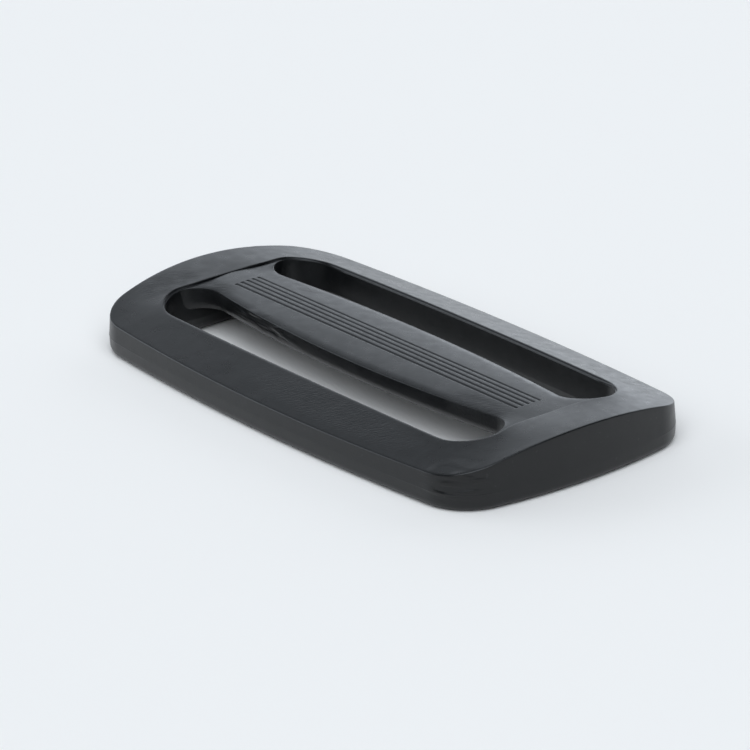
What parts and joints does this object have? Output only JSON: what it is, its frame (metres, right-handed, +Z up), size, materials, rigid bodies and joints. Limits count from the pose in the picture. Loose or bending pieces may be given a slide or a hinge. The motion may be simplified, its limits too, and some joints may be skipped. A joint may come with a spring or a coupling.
{
  "type": "buckle slider",
  "caption": "Flat rounded strap slider: a crowned outer frame with a grooved centre bar between two slots; webbing threads over the bar to set its length.",
  "frame": {"origin": "centre of the flat underside of the outer frame, on the plane it rests on", "axes": "+X along the centre bar, across the width of the webbing; +Y across the bar, the way the webbing runs; +Z up, out of the crowned face"},
  "size_m": [0.0614, 0.0324, 0.006],
  "materials": {
    "frame_plastic": "satin black moulded acetal or nylon, fine grain on the rails",
    "bar_plastic": "satin black moulded acetal or nylon, a little smoother on the crown"
  },
  "bodies": {
    "root": {"frame": "frame_plastic", "centre_bar": "bar_plastic"}
  },
  "joints": []
}
